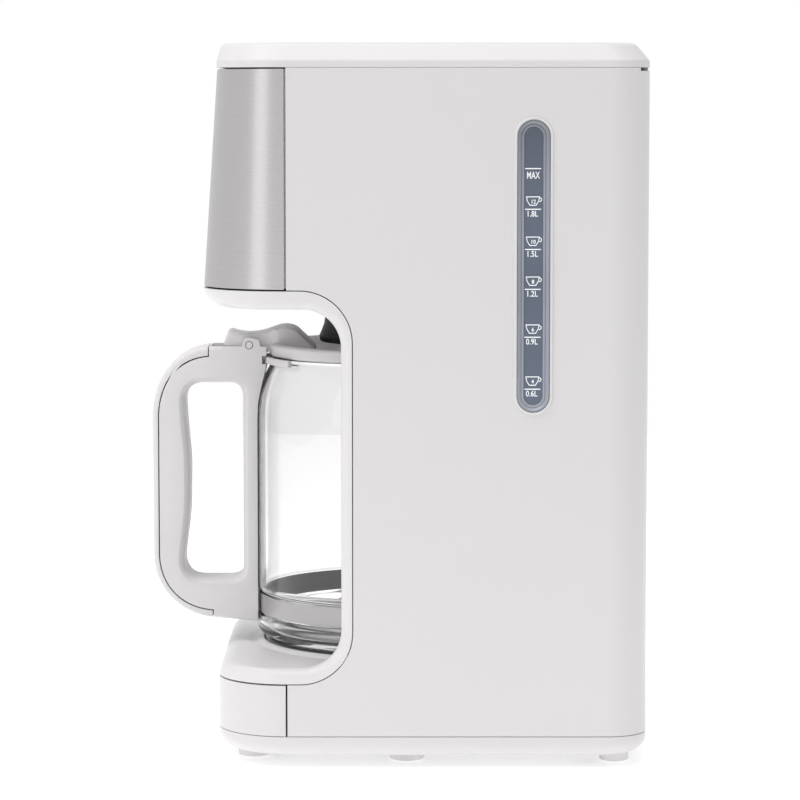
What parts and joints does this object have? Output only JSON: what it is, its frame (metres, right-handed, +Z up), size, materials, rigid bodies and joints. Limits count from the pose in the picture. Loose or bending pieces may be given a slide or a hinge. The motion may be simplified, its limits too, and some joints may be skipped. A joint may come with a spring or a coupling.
{
  "type": "drip coffee maker",
  "caption": "Drip coffee maker: tall white body with a metal head panel, a flip-up lid, a side water level window and a handled glass carafe in an open bay.",
  "frame": {"origin": "on the table under the machine, midway across its width and its depth with the carafe docked", "axes": "+Z up; the front, where the carafe is pulled out, faces -Y; +X is the side with the water level window"},
  "size_m": [0.196, 0.253, 0.3615],
  "materials": {
    "body_white": "satin gloss moulded plastic",
    "liner_white": "satin moulded plastic",
    "brushed_panel": "brushed",
    "tank_clear": "translucent moulded plastic",
    "window_rim": "tinted clear plastic",
    "window_smoke": "smoky clear plastic",
    "silicone_hose": "translucent silicone",
    "plate_coating": "non-stick coating",
    "heater_aluminium": "extruded",
    "zinc_steel": "zinc plated steel",
    "board_green": "solder mask",
    "lcd_dark": "display",
    "button_grey": "moulded plastic",
    "basket_black": "moulded plastic",
    "filter_mesh": "fine woven mesh in a moulded frame",
    "carafe_glass": "clear borosilicate glass",
    "handle_white": "fine satin moulded plastic",
    "foot_rubber": "moulded rubber"
  },
  "bodies": {
    "machine": {"main_housing": "body_white", "head_front_panel": "brushed_panel", "base_front_cover": "body_white", "bay_liner": "liner_white", "base_tray": "body_white", "top_deck": "liner_white", "water_tank": "tank_clear", "window_bezel": "window_rim", "level_window": "window_smoke", "tank_outlet_hose": "silicone_hose", "check_valve": "liner_white", "heater_inlet_hose": "silicone_hose", "riser_hose": "silicone_hose", "outlet_spout": "liner_white", "warming_plate": "plate_coating", "heating_element": "heater_aluminium", "heater_bracket": "zinc_steel", "thermostat": "heater_aluminium", "thermal_fuse": "zinc_steel", "control_board": "board_green", "lcd_display": "lcd_dark", "display_lens": "window_smoke", "power_board": "board_green", "cord_gland": "body_white", "filter_basket": "basket_black", "mesh_filter": "filter_mesh", "basket_handle": "basket_black", "lid_hinge_pin_left": "zinc_steel", "lid_hinge_pin_right": "zinc_steel", "foot_front_left": "foot_rubber", "foot_front_right": "foot_rubber", "foot_middle_left": "foot_rubber", "foot_middle_right": "foot_rubber", "foot_rear_left": "foot_rubber", "foot_rear_right": "foot_rubber", "base_screw_1": "zinc_steel", "base_screw_2": "zinc_steel", "base_screw_3": "zinc_steel", "base_screw_4": "zinc_steel"},
    "lid": {"top_lid": "body_white", "shower_head": "liner_white"},
    "carafe": {"carafe_glass": "carafe_glass", "carafe_band": "brushed_panel", "band_screw": "zinc_steel", "carafe_handle": "handle_white", "handle_cover": "handle_white", "neck_clip": "handle_white", "lid_pivot_pin": "handle_white"},
    "carafe_cover": {"carafe_lid": "handle_white"},
    "drip_stop": {"drip_stop_plunger": "basket_black", "drip_stop_seal": "silicone_hose", "drip_stop_spring": "zinc_steel"},
    "brew_key": {"brew_button": "button_grey"},
    "program_key": {"program_button": "button_grey"},
    "hour_key": {"hour_button": "button_grey"},
    "minute_key": {"minute_button": "button_grey"}
  },
  "joints": [
    {"name": "lid_hinge", "type": "hinge", "parent": "machine", "child": "lid", "pos_m": [0, 0.124, 0.3505], "axis": [-1, 0, 0], "range_deg": [0, 80]},
    {"name": "carafe_slide", "type": "slide", "parent": "machine", "child": "carafe", "axis": [0, -1, 0], "range_m": [0, 0.17]},
    {"name": "carafe_lid_hinge", "type": "hinge", "parent": "carafe", "child": "carafe_cover", "pos_m": [0, -0.076, 0.2061], "axis": [1, 0, 0], "range_deg": [0, 3]},
    {"name": "drip_stop_slide", "type": "slide", "parent": "machine", "child": "drip_stop", "axis": [0, 0, 1], "range_m": [0, 0.003], "stiffness_N_per_m": 400, "springref_m": -0.002, "deforming": ["drip_stop_spring"]},
    {"name": "brew_key_slide", "type": "slide", "parent": "machine", "child": "brew_key", "axis": [0, 1, 0], "range_m": [0, 0.0012], "stiffness_N_per_m": 600, "springref_m": -0.001},
    {"name": "program_key_slide", "type": "slide", "parent": "machine", "child": "program_key", "axis": [0, 1, 0], "range_m": [0, 0.0012], "stiffness_N_per_m": 600, "springref_m": -0.001},
    {"name": "hour_key_slide", "type": "slide", "parent": "machine", "child": "hour_key", "axis": [0, 1, 0], "range_m": [0, 0.0012], "stiffness_N_per_m": 600, "springref_m": -0.001},
    {"name": "minute_key_slide", "type": "slide", "parent": "machine", "child": "minute_key", "axis": [0, 1, 0], "range_m": [0, 0.0012], "stiffness_N_per_m": 600, "springref_m": -0.001}
  ]
}
